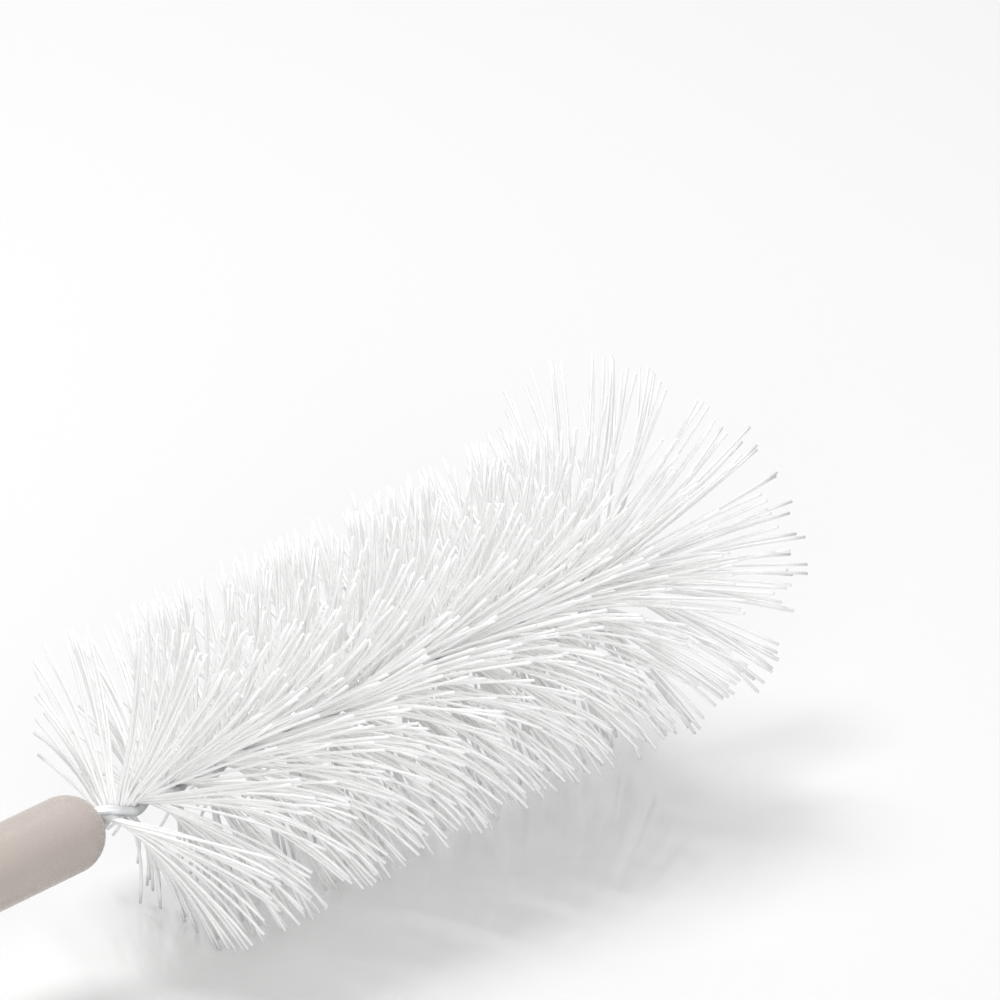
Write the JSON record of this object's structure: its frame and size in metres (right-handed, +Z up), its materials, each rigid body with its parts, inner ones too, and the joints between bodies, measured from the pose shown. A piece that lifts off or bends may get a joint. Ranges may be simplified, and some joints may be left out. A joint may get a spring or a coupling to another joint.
{
  "type": "bottle brush",
  "caption": "Twisted-in-wire bottle brush: nylon filaments in a spiral head with a forward tuft at the tip, on a plain round plastic handle, lying at rest.",
  "frame": {"origin": "on the surface that the brush lies on, under the middle of its bounding box", "axes": "+X from the butt of the handle to the tip of the head, +Z up"},
  "size_m": [0.3533, 0.0547, 0.0588],
  "materials": {
    "handle_plastic": "satin moulded plastic",
    "wire_steel": "drawn stainless wire",
    "nylon": "clear white nylon filament"
  },
  "bodies": {
    "root": {"handle": "handle_plastic", "twisted_wire": "wire_steel", "bristle_row_01": "nylon", "bristle_row_02": "nylon", "bristle_row_03": "nylon", "bristle_row_04": "nylon", "bristle_row_05": "nylon", "bristle_row_06": "nylon", "bristle_row_07": "nylon", "bristle_row_08": "nylon", "bristle_row_09": "nylon", "bristle_row_10": "nylon", "bristle_row_11": "nylon", "bristle_row_12": "nylon", "bristle_row_13": "nylon", "tip_tuft": "nylon"}
  },
  "joints": []
}
